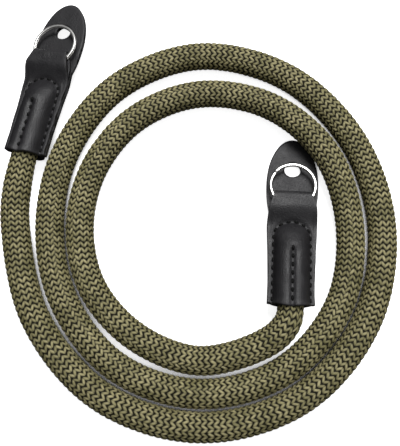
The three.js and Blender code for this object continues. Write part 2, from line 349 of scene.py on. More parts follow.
def patches_group(name):
    """Slow uneven patches between 0 and 1, for colour and roughness that vary over a surface."""
    inputs = (("Size", "Float", 0.01), ("Contrast", "Float", 1.0))
    group, build, given, result = new_group(name, "ShaderNodeTree", inputs, (("Mask", "Float"),))
    place = build.node("ShaderNodeTexCoord").outputs["Object"]
    clouds = build.node(
        "ShaderNodeTexNoise", Vector=place, Scale=build.maths("DIVIDE", 1.0, given["Size"]),
        Detail=3.0, Roughness=0.6,
    )
    centred = build.maths("SUBTRACT", clouds.outputs[0], 0.5)
    spread = build.times_plus(centred, given["Contrast"], 0.5)
    build.put(result.inputs[0], build.clamped(spread))
    return group


def fibres_group(name):
    """Fine fibres that run along a yarn or thread and lean a little, from its own UV map, and a mask of
    painted shade at its sides and ends.
    """
    inputs = (
        ("UV", "Vector", None), ("Fibres", "Float", 9.0), ("Lean", "Float", 0.6), ("Seed", "Float", 0.0),
    )
    outputs = (("Height", "Float"), ("Rim", "Float"))
    group, build, given, result = new_group(name, "ShaderNodeTree", inputs, outputs)
    across, along = build.parts(given["UV"])[:2]
    leaning = build.times_plus(along, given["Lean"], across)
    stretched = build.joined(
        build.times(leaning, given["Fibres"]), build.times(along, 1.3), given["Seed"]
    )
    strands = build.node("ShaderNodeTexNoise", Vector=stretched, Scale=1.0, Detail=3.0, Roughness=0.65)
    wave = build.maths("SINE", build.times(leaning, build.times(given["Fibres"], math.pi)))
    build.put(result.inputs["Height"], build.times_plus(wave, 0.18, strands.outputs[0]))
    # Painted shade mask: 0 in a yarn's middle, 1 at its sides and at its ends, where it dips under its
    # neighbours.
    from_middle = build.maths("ABSOLUTE", build.times_plus(across, 2.0, -1.0))
    from_centre = build.maths("ABSOLUTE", build.times_plus(along, 2.0, -1.0))
    side, end = build.maths("POWER", from_middle, 2.2), build.maths("POWER", from_centre, 3.0)
    build.put(result.inputs["Rim"], build.maths("MAXIMUM", side, end))
    return group


def grain_group(name):
    """Pebbled leather grain with fine creases: a height, and a mask of the valleys."""
    inputs = (("Size", "Float", 0.0004), ("Creases", "Float", 0.4))
    outputs = (("Height", "Float"), ("Valleys", "Float"))
    group, build, given, result = new_group(name, "ShaderNodeTree", inputs, outputs)
    place = build.node("ShaderNodeTexCoord").outputs["Object"]
    scale = build.maths("DIVIDE", 1.0, given["Size"])
    drift = build.node("ShaderNodeTexNoise", Vector=place, Scale=build.times(scale, 0.5), Detail=2.0)
    bent = build.vector("ADD", place, build.scaled(drift.outputs["Color"], build.times(given["Size"], 1.4)))
    pebbles = build.node(
        "ShaderNodeTexVoronoi", {"feature": "SMOOTH_F1"}, Vector=bent, Scale=scale,
        Smoothness=0.4, Randomness=1.0,
    )
    cracks = build.node(
        "ShaderNodeTexNoise", Vector=build.vector("MULTIPLY", place, (1.0, 0.35, 1.0)),
        Scale=build.times(scale, 0.28), Detail=4.0, Roughness=0.7,
    )
    crease = build.maths("ABSOLUTE", build.maths("SUBTRACT", cracks.outputs[0], 0.5))
    crease = build.maths("MINIMUM", build.times(crease, 14.0), 1.0)
    valleys = build.maths("POWER", pebbles.outputs["Distance"], 2.0)
    height = build.maths("SUBTRACT", 1.0, valleys)
    lowered = build.times(build.maths("SUBTRACT", crease, 1.0), given["Creases"])
    build.put(result.inputs["Height"], build.maths("ADD", height, lowered))
    build.put(result.inputs["Valleys"], valleys)
    return group


def use_group(build, name, make, **values):
    made = build.tree.nodes.new("ShaderNodeGroup")
    made.node_tree = shared_group(name, make)
    for label, value in values.items():
        build.put(made.inputs[label.replace("_", " ")], value)
    return made.outputs


def new_material(name):
    """A new material: returns it, the builder of its tree and its surface shader."""
    material = bpy.data.materials.new(name)
    material.use_nodes = True
    build = TreeBuilder(material.node_tree)
    shader = next(n for n in material.node_tree.nodes if n.type == "BSDF_PRINCIPLED")
    return material, build, shader


def mixed(build, share, first, second):
    """A colour between two: each is a socket, or a colour of three numbers."""
    first, second = (c if isinstance(c, bpy.types.NodeSocket) else (*c, 1.0) for c in (first, second))
    made = build.node("ShaderNodeMix", {"data_type": "RGBA"}, Factor=share, A=first, B=second)
    return build.open_output(made)


def bumped(build, height, distance, strength=1.0):
    made = build.node("ShaderNodeBump", Height=height, Distance=distance, Strength=strength)
    return made.outputs["Normal"]


def yarn_material(rope):
    """Olive and khaki yarns: every yarn has its own tone, with fibres along it and painted shade at its
    sides and where it dips.
    """
    material, build, shader = new_material("olive_khaki_yarn")
    uv = build.node("ShaderNodeUVMap", {"uv_map": "yarn_uv"}).outputs[0]
    tone = build.node("ShaderNodeAttribute", {"attribute_name": "yarn_tone"}).outputs["Fac"]
    seed = build.times(tone, 91.0)
    fibres = use_group(build, "Fibres", fibres_group, UV=uv, Fibres=8.0, Lean=0.5, Seed=seed)
    patches = use_group(build, "Patches", patches_group, Size=0.007, Contrast=2.2)
    share = build.times_plus(tone, 0.55, build.times(patches["Mask"], 0.5))
    share = build.maths("ADD", share, build.times_plus(fibres["Height"], 0.7, -0.35))
    share = build.clamped(share)
    colour = mixed(build, share, rope.olive, rope.khaki)
    # Painted shade: each yarn darkens towards the near-black core colour at its sides and where it dips
    # under its neighbours.
    colour = mixed(build, build.times(fibres["Rim"], 0.95), colour, rope.core_colour)
    build.fill(
        shader, Base_Color=colour, Roughness=build.times_plus(fibres["Height"], -0.25, 0.66),
        Specular_IOR_Level=0.35, Normal=bumped(build, fibres["Height"], 0.00012, 0.8),
    )
    return material


def core_material(rope):
    """The inside of the braid, which shows between the yarns, in near-black painted shade."""
    material, build, shader = new_material("braid_core")
    patches = use_group(build, "Patches", patches_group, Size=0.002, Contrast=2.0)
    lighter = tuple(2.2 * c for c in rope.core_colour)
    build.fill(
        shader, Base_Color=mixed(build, patches["Mask"], rope.core_colour, lighter),
        Roughness=build.times_plus(patches["Mask"], 0.1, 0.85), Specular_IOR_Level=0.2,
        Normal=bumped(build, patches["Mask"], 0.0001, 0.6),
    )
    return material


def leather_material(leather, name, wear_and_highlight, roughness, grain_depth):
    """Black leather: pebbled grain, rubbed lighter along its edges and folds; on the cut edges the lighter
    colour is partly a painted highlight.
    """
    material, build, shader = new_material(name)
    grain = use_group(build, "Leather grain", grain_group, Size=leather.grain_size, Creases=0.35)
    patches = use_group(build, "Patches", patches_group, Size=0.006, Contrast=2.4)
    edge = build.node("ShaderNodeAttribute", {"attribute_name": "edge_wear"}).outputs["Fac"]
    # The rubbed, lighter colour: from rubbing on the faces, and partly painted highlight on the cut edges.
    rubbed = build.times(edge, build.times_plus(patches["Mask"], 0.9, 0.2))
    rubbed = build.times(rubbed, build.maths("SUBTRACT", 1.0, grain["Valleys"]))
    rubbed = build.maths("ADD", build.times(rubbed, wear_and_highlight), build.times(patches["Mask"], 0.14))
    colour = mixed(build, build.maths("MINIMUM", rubbed, 1.0), leather.colour, leather.worn_colour)
    rough = build.times_plus(patches["Mask"], 0.14, roughness)
    build.fill(
        shader, Base_Color=colour, Roughness=build.times_plus(grain["Valleys"], 0.12, rough),
        Specular_IOR_Level=0.4, Normal=bumped(build, grain["Height"], grain_depth, 0.9),
    )
    return material


def thread_material(seam):
    """Black waxed thread, twisted."""
    material, build, shader = new_material("black_thread")
    uv = build.node("ShaderNodeUVMap", {"uv_map": "thread_uv"}).outputs[0]
    fibres = use_group(build, "Fibres", fibres_group, UV=uv, Fibres=6.0, Lean=2.5, Seed=3.0)
    lighter = tuple(3.0 * c for c in seam.colour)
    build.fill(
        shader, Base_Color=mixed(build, fibres["Height"], seam.colour, lighter),
        Roughness=build.times_plus(fibres["Height"], 0.2, 0.62), Specular_IOR_Level=0.15,
        Normal=bumped(build, fibres["Height"], 0.00008, 0.8),
    )
    return material


def nickel_material(ring):
    """Bright nickel plate with faint drawn lines and handling marks."""
    material, build, shader = new_material("nickel_plate")
    patches = use_group(build, "Patches", patches_group, Size=0.0015, Contrast=3.0)
    place = build.node("ShaderNodeTexCoord").outputs["Object"]
    stretched = build.vector("MULTIPLY", place, (1.0, 1.0, 18.0))
    lines = build.node("ShaderNodeTexNoise", Vector=stretched, Scale=2600.0)
    dull = tuple(0.82 * c for c in ring.colour)
    build.fill(
        shader, Base_Color=mixed(build, patches["Mask"], ring.colour, dull), Metallic=1.0,
        Roughness=build.times_plus(patches["Mask"], 0.1, 0.34),
        Normal=bumped(build, lines.outputs[0], 0.00001, 0.25),
    )
    return material


def floor_material(stage):
    """A white table that glows a little where the camera sees it, like light from below, and throws hardly
    any light back on the strap; in the narrow gaps between the rope's turns its glow and colour are taken
    away by ambient occlusion, as painted shade.
    """
    material, build, shader = new_material("white_table")
    seen = build.tree.nodes.new("ShaderNodeLightPath").outputs["Is Camera Ray"]
    # Painted shade: where ambient occlusion finds a narrow gap, the floor loses its glow and pale colour
    # and turns dark.
    open_share = build.node("ShaderNodeAmbientOcclusion", {"samples": 48}, Distance=0.014).outputs["AO"]
    glow_outside_painted_shade = build.clamped(build.times_plus(open_share, 20.0, -1.8))
    seen_outside_painted_shade = build.times(seen, glow_outside_painted_shade)
    thrown = tuple(stage.thrown_back * c for c in stage.floor_colour)
    build.fill(
        shader, Base_Color=mixed(build, seen_outside_painted_shade, thrown, stage.floor_colour), Roughness=0.9,
        Specular_IOR_Level=0.1, Emission_Color=(1.0, 1.0, 1.0, 1.0),
        Emission_Strength=build.times(seen_outside_painted_shade, stage.floor_glow),
    )
    return material


# Shapes


def end_matrix(end):
    """From an end's own frame in millimetres to the part's frame in metres."""
    place = Vector(end["place"]) + STRAP_PLACE
    turn = (
        Matrix.Rotation(math.radians(end["heading"] - 90), 4, "Z")
        @ Matrix.Rotation(math.radians(end["pitch"]), 4, "X")
        @ Matrix.Rotation(math.radians(end["roll"]), 4, "Y")
    )
    return Matrix.Translation(place * MM) @ turn @ Matrix.Scale(MM, 4)


def moved(matrix, points):
    """Points as an array, taken through a matrix."""
    m = np.array(matrix)
    return np.asarray(points, float) @ m[:3, :3].T + m[:3, 3]


def route_points():
    """The points that the rope's middle goes through, in metres, from end a to end b."""
    hidden = [(0, along, 0) for along in (ROPE_END_AT, ROPE_END_AT / 2, 0)]
    turns = []
    for index, radius in enumerate(r for row in TURN_RADII for r in row):
        angle = FIRST_ANGLE + index * ANGLE_STEP
        turns.append((
            COIL_CENTRE[0] + radius * math.cos(math.radians(angle)),
            COIL_CENTRE[1] + radius * math.sin(math.radians(angle)),
            ROPE_HEIGHT + LIFTS.get(angle, 0.0),
        ))
    laid = np.array([LEADS["a"], *turns, LEADS["b"]]) + np.array(STRAP_PLACE)
    return np.concatenate([
        moved(end_matrix(ENDS["a"]), hidden),
        laid * MM,
        moved(end_matrix(ENDS["b"]), hidden[::-1]),
    ])


def smooth_line(points, per_span):
    """A centripetal Catmull-Rom line through the points, the same curve as the CAD rope follows."""
    p = np.concatenate([[2 * points[0] - points[1]], points, [2 * points[-1] - points[-2]]])
    line = []
    for p0, p1, p2, p3 in zip(p[:-3], p[1:-2], p[2:-1], p[3:]):
        d0, d1, d2 = (math.sqrt(np.linalg.norm(b - a)) for a, b in ((p0, p1), (p1, p2), (p2, p3)))
        t1 = ((p1 - p0) / d0 - (p2 - p0) / (d0 + d1) + (p2 - p1) / d1) * d1
        t2 = ((p2 - p1) / d1 - (p3 - p1) / (d1 + d2) + (p3 - p2) / d2) * d1
        square, cube = -3 * p1 + 3 * p2 - 2 * t1 - t2, 2 * p1 - 2 * p2 + t1 + t2
        w = np.linspace(0, 1, per_span, endpoint=False)[:, None]
        line.append(p1 + t1 * w + square * w**2 + cube * w**3)
    return np.concatenate([*line, points[-1:]])


def line_length(line):
    return float(np.linalg.norm(np.diff(line, axis=0), axis=1).sum())


def new_object(name, data):
    made = bpy.data.objects.new(name, data)
    bpy.context.scene.collection.objects.link(made)
    return made


def new_curve(name, lines):
    """A curve object of plain straight-stepped splines, one for each line."""
    data = bpy.data.curves.new(name, "CURVE")
    data.dimensions = "3D"
    for line in lines:
        spline = data.splines.new("POLY")
        spline.points.add(len(line) - 1)
        spline.points.foreach_set("co", np.c_[line, np.ones(len(line))].ravel())
    return new_object(name, data)


def new_mesh(name, points, faces):
    data = bpy.data.meshes.new(name)
    data.from_pydata([tuple(p) for p in points], [], faces)
    data.polygons.foreach_set("use_smooth", [True] * len(data.polygons))
    data.update()
    return new_object(name, data)


def grid_faces(rows, columns):
    corners = [i * columns + j for i in range(rows - 1) for j in range(columns - 1)]
    return [(a, a + 1, a + columns + 1, a + columns) for a in corners]


def made_plain(obj, materials=()):
    """The evaluated object as a plain mesh object of the same name, without modifiers."""
    bpy.context.view_layer.update()
    graph = bpy.context.evaluated_depsgraph_get()
    mesh = bpy.data.meshes.new_from_object(
        obj.evaluated_get(graph), preserve_all_data_layers=True, depsgraph=graph
    )
    name = obj.name
    old = obj.data
    bpy.data.objects.remove(obj)
    if isinstance(old, bpy.types.Curve):
        bpy.data.curves.remove(old)
    mesh.name = name
    if materials:
        mesh.materials.clear()
        for material in materials:
            mesh.materials.append(material)
    return new_object(name, mesh)


def run_tree(obj, group, **values):
    """Gives obj a Geometry Nodes modifier, with its inputs set by the sockets' identifiers."""
    modifier = obj.modifiers.new(group.name, "NODES")
    modifier.node_group = group
    sockets = [s for s in group.interface.items_tree if s.item_type == "SOCKET" and s.in_out == "INPUT"]
    identifiers = {s.name.lower().replace(" ", "_"): s.identifier for s in sockets}
    for label, value in values.items():
        modifier[identifiers[label]] = value


# Braid


BRAID_INPUTS = (
    ("Route", "Geometry", None), ("Diameter", "Float", 0.01), ("Squeezed share", "Float", 0.9),
    ("Squeeze from", "Float", 0.019), ("Squeeze run", "Float", 0.016), ("Start", "Float", 0.0),
    ("Rows", "Int", 10), ("Columns", "Int", 8), ("Zigzag", "Float", 0.5), ("Row pitch", "Float", 0.002),
    ("Yarn width", "Float", 0.0015), ("Yarn length", "Float", 0.003), ("Yarn rise", "Float", 0.0007),
    ("Core share", "Float", 0.9), ("Hand", "Float", 1.0), ("First column", "Float", 0.25),
    ("Twist", "Float", 0.0), ("Seed", "Int", 0), ("Yarn", "Material", None),
)
# The inputs above that the rope's settings of the same names fill
SET_BY_ROPE = (
    "diameter", "squeeze_run", "columns", "zigzag", "row_pitch", "yarn_width", "yarn_length", "yarn_rise",
    "core_share", "twist",
)
YARN_FINENESS = 5
# The yarns differ by a random lean, in radians, and by sizes between these
YARN_LEAN = 0.12
YARN_SIZES = ((0.88, 0.92, 0.8), (1.08, 1.06, 1.05))


def yarn_float(build, given):
    """One yarn where it lies on top: a small closed ridge that dips at both its ends."""
    grid = build.node(
        "GeometryNodeMeshGrid", Size_X=1.0, Size_Y=1.0, Vertices_X=YARN_FINENESS, Vertices_Y=YARN_FINENESS
    )
    kept = build.node(
        "GeometryNodeStoreNamedAttribute", {"data_type": "FLOAT2", "domain": "CORNER"},
        Geometry=grid.outputs["Mesh"], Name="yarn_uv", Value=grid.outputs["UV Map"],
    )
    across, along, _ = build.parts(build.node("GeometryNodeInputPosition").outputs[0])
    side = build.maths("POWER", build.maths("ABSOLUTE", build.times(across, 2.0)), 2.0)
    end = build.maths("ABSOLUTE", build.times(along, 2.0))
    round_side = build.maths("SQRT", build.maths("MAXIMUM", build.maths("SUBTRACT", 1.0, side), 0.0))
    dip = build.maths("SUBTRACT", 1.0, build.maths("POWER", end, 2.2))
    height = build.times(round_side, dip)
    narrowed = build.maths("SUBTRACT", 1.0, build.times(build.maths("POWER", end, 3.0), 0.3))
    sunk = build.times(given["Yarn rise"], -0.2)
    whole = build.times(given["Yarn rise"], 1.2)
    shaped = build.joined(
        build.times(build.times(across, given["Yarn width"]), narrowed),
        build.times(along, given["Yarn length"]),
        build.times_plus(height, whole, sunk),
    )
    return build.node("GeometryNodeSetPosition", Geometry=kept.outputs[0], Position=shaped).outputs[0]


def braid_places(build, given):
    """A flat lattice of points, one for each yarn float of this hand: x round the rope, y along it."""
    count = build.times(given["Rows"], given["Columns"])
    points = build.node("GeometryNodePoints", Count=count)
    index = build.node("GeometryNodeInputIndex").outputs[0]
    row = build.maths("FLOOR", build.maths("DIVIDE", build.maths("ADD", index, 0.5), given["Columns"]))
    column = build.maths("SUBTRACT", index, build.times(row, given["Columns"]))
    around = build.times(given["Diameter"], math.pi / 2)
    cell = build.maths("DIVIDE", around, given["Columns"])
    x = build.times(build.times_plus(column, 2.0, given["First column"]), cell)
    half_rows = build.maths("FLOOR", build.maths("DIVIDE", build.times(column, 2.0), given["Columns"]))
    raised = build.times_plus(half_rows, 0.5, row)
    y = build.times_plus(raised, given["Row pitch"], given["Start"])
    laid = build.joined(x, y, 0.0)
    placed = build.node("GeometryNodeSetPosition", Geometry=points.outputs[0], Position=laid)
    back = build.times(column, given["Hand"])
    carrier = build.maths("FLOORED_MODULO", build.maths("SUBTRACT", row, back), given["Columns"])
    slope = build.maths("ARCTAN2", build.times(given["Row pitch"], given["Zigzag"]), cell)
    return placed.outputs[0], carrier, slope


def braid_group():
    """Yarn floats laid in a herringbone round the rope and along its route."""
    outputs = (("Braid", "Geometry"),)
    group, build, given, result = new_group("Braid on a rope", "GeometryNodeTree", BRAID_INPUTS, outputs)
    places, carrier, slope = braid_places(build, given)
    own_tone = build.random(0.0, 1.0, ID=carrier, Seed=given["Seed"])
    lean = build.random(-YARN_LEAN, YARN_LEAN, Seed=build.maths("ADD", given["Seed"], 1.0))
    size = build.random(*YARN_SIZES, Seed=build.maths("ADD", given["Seed"], 2.0))
    turn = build.times(build.maths("SUBTRACT", slope, math.pi / 2), given["Hand"])
    turn = build.maths("ADD", turn, lean)
    laid = build.node(
        "GeometryNodeInstanceOnPoints", Points=places, Instance=yarn_float(build, given),
        Rotation=build.joined(0.0, 0.0, turn), Scale=size,
    )
    toned = build.node(
        "GeometryNodeStoreNamedAttribute", {"data_type": "FLOAT", "domain": "INSTANCE"},
        Geometry=laid.outputs[0], Name="yarn_tone", Value=own_tone,
    )
    flat = build.node("GeometryNodeRealizeInstances", Geometry=toned.outputs[0])
    upright = build.node("GeometryNodeSetCurveNormal", {"mode": "Z_UP"}, Curve=given["Route"])
    x, y, z = build.parts(build.node("GeometryNodeInputPosition").outputs[0])
    on_route = build.node(
        "GeometryNodeSampleCurve", {"mode": "LENGTH", "use_all_curves": True},
        Curves=upright.outputs[0], Length=y,
    )
    tangent, normal = on_route.outputs["Tangent"], on_route.outputs["Normal"]
    long = build.node("GeometryNodeCurveLength", Curve=given["Route"]).outputs[0]
    to_end = build.maths("MINIMUM", y, build.maths("SUBTRACT", long, y))
    opened_at = build.maths("ADD", given["Squeeze from"], given["Squeeze run"])
    opened = build.node(
        "ShaderNodeMapRange", {"interpolation_type": "SMOOTHSTEP"}, Value=to_end,
        From_Min=given["Squeeze from"], From_Max=opened_at, To_Min=given["Squeezed share"], To_Max=1.0,
    )
    full = build.maths("DIVIDE", given["Diameter"], 2.0)
    base = build.times(full, given["Core share"])
    out = build.times(build.maths("ADD", base, z), build.open_output(opened))
    angle = build.times_plus(y, given["Twist"], build.maths("DIVIDE", x, full))
    sideways = build.vector("CROSS_PRODUCT", tangent, normal)
    upwards = build.scaled(normal, build.maths("COSINE", angle))
    away = build.vector("ADD", upwards, build.scaled(sideways, build.maths("SINE", angle)))
    wrapped = build.node(
        "GeometryNodeSetPosition", Geometry=flat.outputs[0],
        Position=build.vector("ADD", on_route.outputs["Position"], build.scaled(away, out)),
    )
    smooth = build.node("GeometryNodeSetShadeSmooth", Geometry=wrapped.outputs[0])
    finished = build.node("GeometryNodeSetMaterial", Geometry=smooth.outputs[0], Material=given["Yarn"])
    build.put(result.inputs[0], finished.outputs[0])
    return group


def rope_core(rope, line):
    """The tube inside the braid, in near-black painted shade: a curve of one open spline with a bevel."""
    core = new_curve("rope_core", [line])
    core.data.bevel_depth = rope.diameter / 2 * rope.core_share
    core.data.bevel_resolution = 5
    core.data.use_fill_caps = True
    along = np.concatenate([[0], np.cumsum(np.linalg.norm(np.diff(line, axis=0), axis=1))])
    to_end = np.minimum(along, along[-1] - along)
    t = np.clip((to_end - ROPE_END_AT * MM) / rope.squeeze_run, 0, 1)
    narrow = rope.squeezed_diameter / rope.diameter
    core.data.splines[0].points.foreach_set("radius", narrow + (1 - narrow) * t * t * (3 - 2 * t))
    core.data.splines[0].use_smooth = True
    core.data.materials.append(core_material(rope))
    return core


def braid_layer(name, rope, line, group, material, hand, first_column, seed):
    """All the yarns that go one way round the rope, as one plain mesh."""
    start = YARNS_START_AT * MM
    layer = new_curve(name, [line])
    run_tree(
        layer, group, squeezed_share=rope.squeezed_diameter / rope.diameter, squeeze_from=ROPE_END_AT * MM,
        start=start, rows=int((line_length(line) - 2 * start) / rope.row_pitch), hand=hand,
        first_column=first_column, seed=seed, yarn=material,
        **{key: getattr(rope, key) for key in SET_BY_ROPE},
    )
    return made_plain(layer, [material])


# Leather


def smooth_max(a, b, blend):
    return 0.5 * (a + b + np.sqrt((a - b) ** 2 + blend**2))


def smooth_step(x, low, high):
    t = np.clip((x - low) / (high - low), 0, 1)
    return t * t * (3 - 2 * t)


def half_width(along):
    """Half the width of both layers up to the waist, and of the front strip up to its fold."""
    table = np.array([*SLEEVE_SIDE, *FOLD_SIDE])
    spread = np.linspace(-1.2, 1.2, 9)
    return np.mean([np.interp(along + d, table[:, 0], table[:, 1]) for d in spread], axis=0)


def bulge_radius(along, radius, flare, tip):
    """Radius of the bulge that the rope makes, from the mouth to where it ends."""
    runs, shares = np.array(SHOULDER).T
    fine = np.linspace(0, 1, 61)
    rounded = np.interp(fine, runs, shares)
    rounded = np.convolve(np.pad(rounded, 3, mode="edge"), np.ones(7) / 7, mode="valid")
    share = np.interp((along - TAPER_FROM) / (tip - TAPER_FROM), fine, rounded, left=1.0)
    opening = flare * np.clip(1 - along / FLARE_RUN, 0, 1) ** 2
    return share * radius + opening


def seam_line():
    """The inverted U of the side seams and the arch, in x and y."""
    side = np.arange(SEAM_START, SIDE_SEAM_TOP, SEAM_SPACING)
    turn = np.linspace(0, math.pi, 41)
    arch = np.c_[SIDE_SEAM_AT * np.cos(turn), SIDE_SEAM_TOP + ARCH_RISE * np.sin(turn)]
    right = np.c_[np.full(len(side), SIDE_SEAM_AT), side]
    return np.concatenate([right, arch, right[::-1] * (-1, 1)])


def middle_line():
    along = np.arange(SEAM_START, MIDDLE_SEAM_TOP + SEAM_SPACING / 2, SEAM_SPACING)
    return np.c_[np.zeros(len(along)), along]


def from_line(x, y, line):
    """Distance from each point to the nearest point of a line."""
    places = np.linspace(0, len(line) - 1, 4 * len(line))
    fine = np.stack([np.interp(places, np.arange(len(line)), column) for column in line.T], -1)
    points = np.stack([x, y], -1)[..., None, :]
    return np.linalg.norm(points - fine, axis=-1).min(-1)


def waves(x, y, seed, size):
    """Slow unevenness between about -1 and 1."""
    flat = np.c_[np.ravel(x), np.ravel(y)] / size
    return np.array([noise.noise(Vector((u, v, seed))) for u, v in flat]).reshape(np.shape(x))


def pressed(x, y, face):
    """How far a flange is pressed in outside its seam."""
    edge = smooth_step(np.abs(x), *FLANGE_EDGE)
    return PRESSED[face] * edge * smooth_step(PRESSED_UNTIL[face] - y, 0, 3.0)


def pulled_in(x, y, face):
    """How far the side seams and the arch pull a face in."""
    depth, width = SIDE_PULL[face]
    return depth * np.exp(-((from_line(x, y, seam_line()) / width) ** 2))


def front_height(x, y, leather, seed):
    """Height of the front strip's upper face over the plane where the two layers meet."""
    base = FRONT_TOP + (POCKET_MIDDLE + FOLD_RADIUS - FRONT_TOP) * smooth_step(y, *LEG_RISE)
    radius = bulge_radius(y, leather.front_bulge / MM, leather.mouth_flare / MM, FRONT_BULGE_TIP_AT)
    past = np.clip((y - SIDE_SEAM_TOP) / ARCH_RISE, 0, 1)
    reach = np.maximum(radius, SIDE_SEAM_AT * np.sqrt(1 - past**2))
    dome = radius * np.sqrt(np.maximum(1 - (x / np.maximum(reach, 0.01)) ** 2, 0))
    height = smooth_max(base - pressed(x, y, "front"), dome, CREASE_BLEND)
    depth = leather.seam_depth / MM
    sunk = smooth_step(MIDDLE_SEAM_TOP + 1.4 - y, 0, 3.0)
    height -= sunk * depth * sum(share * np.exp(-((x / width) ** 2)) for share, width in MIDDLE_PULL)
    height -= pulled_in(x, y, "front")
    return height + leather.waves / MM * waves(x, y, seed, FRONT_WAVE_SIZE)


def end_seed(index):
    """Seed of one end's unevenness, the same for its leather and its seams."""
    return 11.0 * index + 2.0


def front_skin(leather, seed):
    """Upper face of the front strip: over the rope, along the flange, round the fold and back under."""
    shares = np.concatenate([-np.array(WIDTH_SHARES[:0:-1]), WIDTH_SHARES])
    fold_centre = FOLD_AT - FOLD_RADIUS
    top_rows = np.concatenate([np.arange(0, FLAT_FROM, GRID_STEP), np.linspace(FLAT_FROM, fold_centre, 9)])
    rows = []
    for along in top_rows:
        x = shares * half_width(along)
        y = np.full_like(x, along)
        rows.append(np.c_[x, y, front_height(x, y, leather, seed)])
    for turn in np.linspace(math.pi / 2, -math.pi / 2, 15)[1:]:
        y = fold_centre + FOLD_RADIUS * math.cos(turn)
        x = shares * half_width(y)
        z = POCKET_MIDDLE + FOLD_RADIUS * math.sin(turn)
        rows.append(np.c_[x, np.full_like(x, y), np.full_like(x, z)])
    for along in np.linspace(fold_centre, LEG_END_AT, 8)[1:]:
        x = shares * half_width(along)
        rows.append(np.c_[x, np.full_like(x, along), np.full_like(x, POCKET_MIDDLE - FOLD_RADIUS)])
    skin = np.array(rows)
    outward = leather.waves / MM * waves(skin[..., 1], skin[..., 0] * 0.2, seed + 5, WAVE_SIZE)
    skin[..., 0] += outward * np.abs(shares) ** 3 * np.sign(shares)
    skin[0, :, 1] -= MOUTH_WAVE * waves(skin[0, :, 0], skin[0, :, 0] * 0, seed + 9, WAVE_SIZE)
    near_mouth = np.clip(1 - skin[..., 1] / LIP_RUN, 0, 1) ** 2
    lip = near_mouth * np.clip(1 - (skin[..., 0] / LIP_HALF_WIDTH) ** 2, 0, 1)
    skin[..., 1] -= MOUTH_LIP * lip * (skin[..., 2] > 0)
    near_side = smooth_step(np.abs(shares), FRONT_WORN_FROM, 1.0)[None, :] * np.ones((len(rows), 1))
    on_fold = np.exp(-(((skin[..., 1] - FOLD_AT) / FOLD_WORN_RUN) ** 2))
    fold_rub = on_fold * (skin[..., 2] > POCKET_MIDDLE)
    mouth = np.exp(-((skin[..., 1] / MOUTH_WORN_RUN) ** 2))
    # Rubbed lighter near the sides, at the fold's top and at the mouth; the border points, and with them
    # the cut edges, get the full value, partly as painted highlight.
    wear_and_highlight = np.clip(np.maximum.reduce([near_side, 0.6 * fold_rub, mouth]), 0, 1)
    return skin.reshape(-1, 3), grid_faces(len(rows), len(shares)), wear_and_highlight.ravel()


def tongue_side(along):
    """Half the width of the back layer beyond the waist."""
    t = np.linspace(0, 1, 40)
    swell = np.c_[
        (1 - t) ** 2 * WAIST_AT + 2 * t * (1 - t) * TONGUE_SWELL_AT + t**2 * TONGUE_WIDEST_AT,
        (1 - t) ** 2 * SLEEVE_SIDE[-1][1] + (1 - (1 - t) ** 2) * TONGUE_HALF_WIDTH,
    ]
    return np.interp(along, swell[:, 0], swell[:, 1])


def back_half_width(along):
    before_waist = WAIST_AT - 1.2
    sewn = half_width(np.minimum(along, before_waist))
    return np.where(along < before_waist, sewn, tongue_side(along))


def back_depth(x, y, leather, seed):
    """Depth of the back layer's lower face under the plane where the two layers meet."""
    radius = bulge_radius(y, leather.back_bulge / MM, leather.mouth_flare / MM, BACK_BULGE_TIP_AT)
    dome = np.sqrt(np.maximum(radius**2 - x**2, 0))
    depth = smooth_max(BACK_UNDERSIDE - pressed(x, y, "back"), dome, CREASE_BLEND)
    depth -= pulled_in(x, y, "back")
    sunk = smooth_step(MIDDLE_SEAM_TOP + 1.0 - y, 0, 2.0)
    pull, width = BACK_MIDDLE_PULL
    depth -= sunk * pull * np.exp(-((x / width) ** 2))
    return depth + 0.5 * leather.waves / MM * waves(x, y, seed + 3, WAVE_SIZE)


